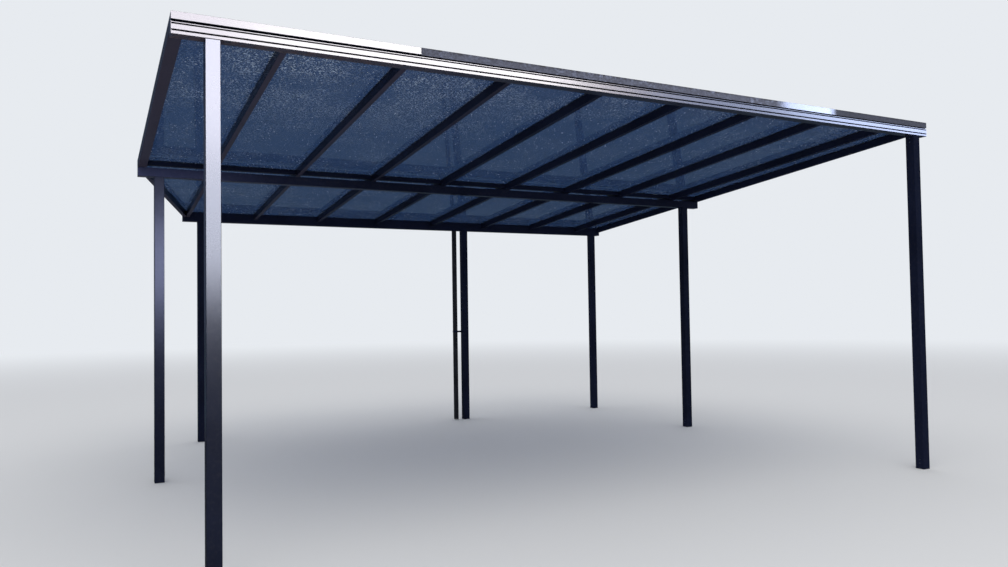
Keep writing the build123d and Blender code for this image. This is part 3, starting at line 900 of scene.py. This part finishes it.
class CARPORT_OT_build_stage(bpy.types.Operator):
    """Set the floor, the soft lamps, the backdrop and the camera"""

    bl_idname = "carport.build_stage"
    bl_label = "Build Stage"

    def floor(self, settings):
        """Wide floor that meets the backdrop far away and shows darker in the gloss."""
        reach = FLOOR_HALF_WIDTH
        corners = [(-reach, -reach, 0), (reach, -reach, 0), (reach, reach, 0), (-reach, reach, 0)]
        piece = mesh_object("studio_floor", corners, [(0, 1, 2, 3)])
        shader = Shader("studio_floor")
        path = shader.add("ShaderNodeLightPath").outputs
        axes = shader.split(shader.coordinates)
        behind = shader.ramp(axes["Y"], cad_high.y, cad_high.y + 2.0)
        mirrored = shader.mix(behind, tuple(settings.floor_mirrored), tuple(settings.behind_mirrored))
        tone = shader.mix(path["Is Glossy Ray"], tuple(settings.floor_colour), mirrored)
        surface = shader.principled(Base_Color=tone, Roughness=0.7)
        far = shader.add("ShaderNodeEmission", Color=tuple(settings.backdrop))
        squares = shader.math("ADD", shader.math("POWER", axes["X"], 2.0),
                              shader.math("POWER", axes["Y"], 2.0))
        fade = shader.ramp(shader.math("SQRT", squares), settings.fade_from, settings.fade_to)
        seen = shader.product(fade, path["Is Camera Ray"])
        piece.data.materials.append(shader.finish(shader.blend(seen, surface, far.outputs["Emission"])))

    def lamp(self, name, place, target, width, height, radiance, colour):
        """Soft rectangular lamp that the camera doesn't see."""
        data = bpy.data.lights.new(name, "AREA")
        data.shape = "RECTANGLE"
        data.size = width
        data.size_y = height
        data.color = colour
        data.energy = radiance * width * height * math.pi
        lamp = bpy.data.objects.new(name, data)
        lamp.location = place
        lamp.rotation_euler = (Vector(target) - Vector(place)).to_track_quat("-Z", "Y").to_euler()
        lamp.visible_camera = False
        bpy.context.scene.collection.objects.link(lamp)
        return lamp

    def gloss_lamp(self, name, left, right, low, high, radiance, colour, pieces):
        """Soft box in front of the carport that shows only as a gloss on the given pieces."""
        middle, level = (left + right) / 2, (low + high) / 2
        lamp = self.lamp(name, (middle, LAMP_PLANE_Y, level), (middle, 0.0, level),
                         right - left, high - low, radiance, colour)
        lamp.visible_diffuse = False
        receivers = bpy.data.collections.new(name + "_receivers")
        for piece in pieces:
            receivers.objects.link(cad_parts[piece])
        lamp.light_linking.receiver_collection = receivers

    def backdrop(self, settings):
        """Pale backdrop, a dimmer surround for the coat's gloss and an even light for everything else."""
        world = bpy.data.worlds.new("studio")
        world.use_nodes = True
        tree = world.node_tree
        tree.nodes.clear()
        output = tree.nodes.new("ShaderNodeOutputWorld")
        path = tree.nodes.new("ShaderNodeLightPath")

        def background(colour):
            node = tree.nodes.new("ShaderNodeBackground")
            node.inputs["Color"].default_value = (*colour, 1)
            return node.outputs["Background"]

        def choose(test, otherwise, chosen):
            node = tree.nodes.new("ShaderNodeMixShader")
            tree.links.new(test, node.inputs[0])
            tree.links.new(otherwise, node.inputs[1])
            tree.links.new(chosen, node.inputs[2])
            return node.outputs["Shader"]

        around = choose(path.outputs["Is Glossy Ray"], background(settings.ambient),
                        background(settings.surround))
        through = choose(path.outputs["Is Transmission Ray"], around, background(settings.backdrop))
        seen = choose(path.outputs["Is Camera Ray"], through, background(settings.backdrop))
        tree.links.new(seen, output.inputs["Surface"])
        bpy.context.scene.world = world

    def camera(self, settings):
        """Camera at the photograph's viewing angle."""
        data = bpy.data.cameras.new("camera")
        data.lens = settings.lens
        data.sensor_width = 36.0
        data.clip_end = 200.0
        camera = bpy.data.objects.new("camera", data)
        turn = Matrix.Rotation(settings.turn, 4, "Z")
        tilt = Matrix.Rotation(math.pi / 2 + settings.tilt, 4, "X")
        roll = Matrix.Rotation(settings.roll, 4, "Z")
        camera.matrix_world = Matrix.Translation(settings.place) @ turn @ tilt @ roll
        bpy.context.scene.collection.objects.link(camera)
        bpy.context.scene.camera = camera

    def execute(self, context):
        settings = context.scene.carport_stage
        self.floor(settings)
        self.backdrop(settings)
        place, size, radiance = (-2.0, -9.0, 14.0), 12.0, 1.3
        above = self.lamp("lamp_above", place, (0, 0, 0), size, size, radiance, (1.0, 0.98, 0.95))
        above.visible_glossy = False
        face = ["front_beam", "front_beam_ends", "front_cap_left"]
        whole_face = face + ["front_cap_right"]
        front_post, side_post = ["post_front_left"], ["post_middle_left"]
        beam = ["middle_beam", "middle_beam_ends"]
        # Name, left, right, low and high edge in metres, radiance, colour and the pieces that mirror it
        for box in (
            ("lamp_face_end", -7.0, -1.8, 2.3, 8.9, 21.0, (0.98, 0.93, 1.0), face),
            ("lamp_face_left", -1.8, 3.9, 2.3, 8.9, 28.0, (1.0, 0.96, 0.98), face),
            ("lamp_face_fade", 3.9, 5.3, 2.3, 8.9, 9.0, (1.0, 0.9, 0.92), face),
            ("lamp_face_middle", 1.0, 9.4, 5.0, 9.4, 7.0, (0.62, 0.7, 1.0), whole_face),
            ("lamp_face_right", 9.4, 17.0, 5.0, 9.4, 19.0, (0.58, 0.68, 1.0), whole_face),
            ("lamp_post_high", -7.0, 1.0, 4.0, 8.9, 25.0, (0.86, 0.86, 1.0), front_post),
            ("lamp_post_low", -7.0, 1.0, 2.0, 4.0, 16.5, (0.8, 0.84, 1.0), front_post),
            ("lamp_side_post", -7.0, 1.0, 1.8, 3.7, 33.0, (0.57, 0.63, 1.0), side_post),
            ("lamp_beam", -7.0, -1.2, 2.3, 8.9, 26.0, (0.45, 0.5, 1.0), beam),
        ):
            self.gloss_lamp(*box)
        self.camera(settings)
        context.scene.view_settings.view_transform = "Standard"
        return {"FINISHED"}


class CARPORT_PT_panel(bpy.types.Panel):
    """Steps of the carport's finish"""

    bl_idname = "CARPORT_PT_panel"
    bl_label = "Open Carport"
    bl_space_type = "VIEW_3D"
    bl_region_type = "UI"
    bl_category = "Carport"

    def draw(self, context):
        for operator in OPERATORS:
            self.layout.operator(operator.bl_idname)


GROUPS = {
    "carport_coat": CarportCoat,
    "carport_sheets": CarportSheets,
    "carport_fixings": CarportFixings,
    "carport_litter": CarportLitter,
    "carport_stage": CarportStage,
}
OPERATORS = (
    CARPORT_OT_build_stage,
    CARPORT_OT_coat_frame,
    CARPORT_OT_finish_sheets,
    CARPORT_OT_finish_small_parts,
    CARPORT_OT_add_screws,
    CARPORT_OT_strew_litter,
)


def register():
    for group in GROUPS.values():
        bpy.utils.register_class(group)
    for name, group in GROUPS.items():
        setattr(bpy.types.Scene, name, PointerProperty(type=group))
    for operator in OPERATORS:
        bpy.utils.register_class(operator)
    bpy.utils.register_class(CARPORT_PT_panel)


def unregister():
    bpy.utils.unregister_class(CARPORT_PT_panel)
    for operator in reversed(OPERATORS):
        bpy.utils.unregister_class(operator)
    for name, group in GROUPS.items():
        delattr(bpy.types.Scene, name)
        bpy.utils.unregister_class(group)


def main():
    register()
    bpy.ops.carport.build_stage()
    bpy.ops.carport.coat_frame()
    bpy.ops.carport.finish_sheets()
    bpy.ops.carport.finish_small_parts()
    bpy.ops.carport.add_screws()
    bpy.ops.carport.strew_litter()


if __name__ == "__main__":
    main()
